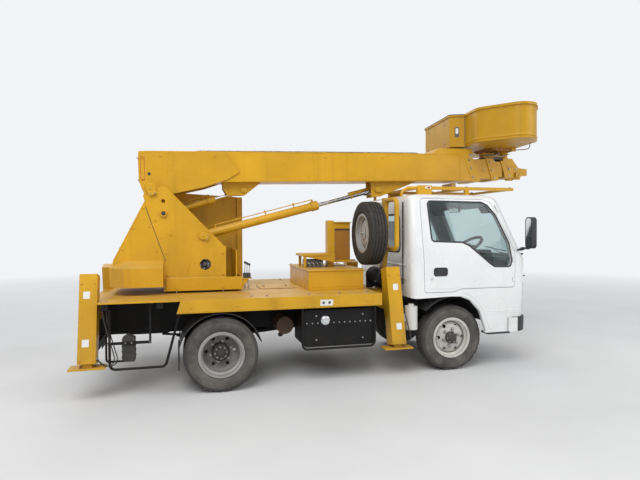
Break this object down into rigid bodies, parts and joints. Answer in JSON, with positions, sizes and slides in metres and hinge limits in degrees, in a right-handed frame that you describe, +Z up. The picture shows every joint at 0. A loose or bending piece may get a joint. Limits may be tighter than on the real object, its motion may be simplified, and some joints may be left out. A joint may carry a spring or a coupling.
{
  "type": "cherry picker truck",
  "caption": "Cab-over truck with a slewing turntable, telescopic boom, cylinders, a work bucket carried over the cab and retracted outriggers.",
  "frame": {"origin": "on the ground, under the middle of the overall box", "axes": "+X ahead, +Y to the truck's left, +Z up"},
  "size_m": [5.27, 2.17, 2.9499],
  "materials": {
    "paint_yellow": "satin, weathered",
    "paint_white": "gloss, dulled",
    "paint_black": "satin",
    "bucket_shell": "satin",
    "cast_grey": "as cast",
    "muffler_rust": "rusty",
    "window_glass": "clear",
    "lamp_clear": "lens",
    "lamp_red": "lens",
    "plastic_black": "grained",
    "plastic_white": "translucent",
    "plastic_grey": "grained",
    "seat_cloth": "woven",
    "rod_chrome": "polished",
    "rim_white": "dirty gloss",
    "rim_silver": "dulled silver",
    "tyre_rubber": "worn"
  },
  "bodies": {
    "chassis": {"battery_box": "paint_black", "cab_glass": "window_glass", "cab_shell": "paint_white", "chassis_frame": "paint_black", "control_console": "paint_yellow", "dashboard": "plastic_grey", "deck": "paint_yellow", "deck_box": "paint_yellow", "engine": "cast_grey", "front_axle": "paint_black", "front_bumper": "plastic_black", "front_lamps": "lamp_clear", "fuel_tank": "paint_black", "mirrors": "plastic_black", "mudguards": "plastic_black", "muffler": "muffler_rust", "outrigger_sleeves": "paint_yellow", "rear_axle": "paint_black", "roof_guard": "paint_yellow", "seats": "seat_cloth", "side_guards": "paint_black", "slew_ring": "paint_black", "spare_carrier": "paint_yellow", "spare_rim": "rim_silver", "spare_tyre": "tyre_rubber", "tail_lamps": "lamp_red", "washer_bottle": "plastic_white"},
    "turntable": {"turntable_frame": "paint_yellow", "counterweight": "paint_yellow"},
    "boom_base": {"boom_base": "paint_yellow", "boom_brackets": "paint_yellow"},
    "boom_mid": {"boom_mid": "paint_yellow"},
    "boom_tip": {"boom_tip": "paint_yellow"},
    "bucket_mount": {"bucket_mount": "paint_yellow"},
    "bucket": {"bucket": "bucket_shell"},
    "lift_barrel": {"lift_barrel": "paint_yellow"},
    "lift_rod": {"lift_rod": "rod_chrome"},
    "level_barrel": {"level_barrel": "paint_yellow"},
    "level_rod": {"level_rod": "rod_chrome"},
    "knuckle_left": {"knuckle_left": "paint_black"},
    "knuckle_right": {"knuckle_right": "paint_black"},
    "front_wheel_left": {"tyre_front_left": "tyre_rubber", "rim_front_left": "rim_white"},
    "front_wheel_right": {"tyre_front_right": "tyre_rubber", "rim_front_right": "rim_white"},
    "rear_wheels_left": {"tyres_rear_left": "tyre_rubber", "rims_rear_left": "rim_silver"},
    "rear_wheels_right": {"tyres_rear_right": "tyre_rubber", "rims_rear_right": "rim_silver"},
    "door_left": {"door_left": "paint_white", "door_glass_left": "window_glass"},
    "door_right": {"door_right": "paint_white", "door_glass_right": "window_glass"},
    "outrigger_front_left": {"outrigger_front_left": "paint_yellow"},
    "outrigger_front_right": {"outrigger_front_right": "paint_yellow"},
    "outrigger_rear_left": {"outrigger_rear_left": "paint_yellow"},
    "outrigger_rear_right": {"outrigger_rear_right": "paint_yellow"}
  },
  "joints": [
    {"name": "slew", "type": "hinge", "parent": "chassis", "child": "turntable", "pos_m": [-1.445, 0, 0.914], "axis": [0, 0, 1], "continuous": true},
    {"name": "luff", "type": "hinge", "parent": "turntable", "child": "boom_base", "pos_m": [-1.955, 0, 1.975], "axis": [0, -1, 0], "range_deg": [0, 80]},
    {"name": "telescope_mid", "type": "slide", "parent": "boom_base", "child": "boom_mid", "axis": [0.9997, 0, 0.0244], "range_m": [0, 2.4]},
    {"name": "telescope_tip", "type": "slide", "parent": "boom_mid", "child": "boom_tip", "axis": [0.9997, 0, 0.0244], "range_m": [0, 2.4]},
    {"name": "bucket_level", "type": "hinge", "parent": "boom_tip", "child": "bucket_mount", "pos_m": [2.505, 0, 2.235], "axis": [0, -1, 0], "range_deg": [-80, 0]},
    {"name": "bucket_swing", "type": "hinge", "parent": "bucket_mount", "child": "bucket", "pos_m": [2.36, 0, 2.51], "axis": [0, 0, 1], "range_deg": [-83, 97]},
    {"name": "lift_barrel_pivot", "type": "hinge", "parent": "turntable", "child": "lift_barrel", "pos_m": [-1.437, 0, 1.483], "axis": [0, -1, 0], "range_deg": [0, 77.6]},
    {"name": "lift_rod_slide", "type": "slide", "parent": "lift_barrel", "child": "lift_rod", "axis": [0.9672, 0, 0.2539], "range_m": [0, 0.913]},
    {"name": "level_barrel_pivot", "type": "hinge", "parent": "turntable", "child": "level_barrel", "pos_m": [-1.833, 0, 1.715], "axis": [0, -1, 0], "range_deg": [0, 70.6]},
    {"name": "level_rod_slide", "type": "slide", "parent": "level_barrel", "child": "level_rod", "axis": [0.952, 0, 0.3061], "range_m": [0, 0.328]},
    {"name": "steer_left", "type": "hinge", "parent": "chassis", "child": "knuckle_left", "pos_m": [1.195, 0.545, 0.355], "axis": [0, 0, 1], "range_deg": [-35, 35]},
    {"name": "steer_right", "type": "hinge", "parent": "chassis", "child": "knuckle_right", "pos_m": [1.195, -0.545, 0.355], "axis": [0, 0, 1], "range_deg": [-35, 35]},
    {"name": "front_spin_left", "type": "hinge", "parent": "knuckle_left", "child": "front_wheel_left", "pos_m": [1.195, 0.695, 0.355], "axis": [0, 1, 0], "continuous": true},
    {"name": "front_spin_right", "type": "hinge", "parent": "knuckle_right", "child": "front_wheel_right", "pos_m": [1.195, -0.695, 0.355], "axis": [0, 1, 0], "continuous": true},
    {"name": "rear_spin_left", "type": "hinge", "parent": "chassis", "child": "rear_wheels_left", "pos_m": [-1.295, 0.703, 0.355], "axis": [0, 1, 0], "continuous": true},
    {"name": "rear_spin_right", "type": "hinge", "parent": "chassis", "child": "rear_wheels_right", "pos_m": [-1.295, -0.703, 0.355], "axis": [0, 1, 0], "continuous": true},
    {"name": "door_left_hinge", "type": "hinge", "parent": "chassis", "child": "door_left", "pos_m": [1.92, 0.841, 1.09], "axis": [0, 0, -1], "range_deg": [0, 70]},
    {"name": "door_right_hinge", "type": "hinge", "parent": "chassis", "child": "door_right", "pos_m": [1.92, -0.841, 1.09], "axis": [0, 0, 1], "range_deg": [0, 70]},
    {"name": "outrigger_front_left_slide", "type": "slide", "parent": "chassis", "child": "outrigger_front_left", "axis": [0, 0.225, -0.9744], "range_m": [0, 0.42]},
    {"name": "outrigger_front_right_slide", "type": "slide", "parent": "chassis", "child": "outrigger_front_right", "axis": [0, -0.225, -0.9744], "range_m": [0, 0.42]},
    {"name": "outrigger_rear_left_slide", "type": "slide", "parent": "chassis", "child": "outrigger_rear_left", "axis": [0, 0.225, -0.9744], "range_m": [0, 0.42]},
    {"name": "outrigger_rear_right_slide", "type": "slide", "parent": "chassis", "child": "outrigger_rear_right", "axis": [0, -0.225, -0.9744], "range_m": [0, 0.42]}
  ],
  "couplings": [
    {"joint": "telescope_tip", "follows": "telescope_mid", "ratio": 1},
    {"joint": "bucket_level", "follows": "luff", "ratio": -1},
    {"joint": "lift_barrel_pivot", "follows": "luff", "ratio": 0.96872},
    {"joint": "lift_rod_slide", "follows": "luff", "m_per_rad": 0.65306},
    {"joint": "level_barrel_pivot", "follows": "luff", "ratio": 0.8812},
    {"joint": "level_rod_slide", "follows": "luff", "m_per_rad": 0.23443},
    {"joint": "steer_right", "follows": "steer_left", "ratio": 1}
  ]
}
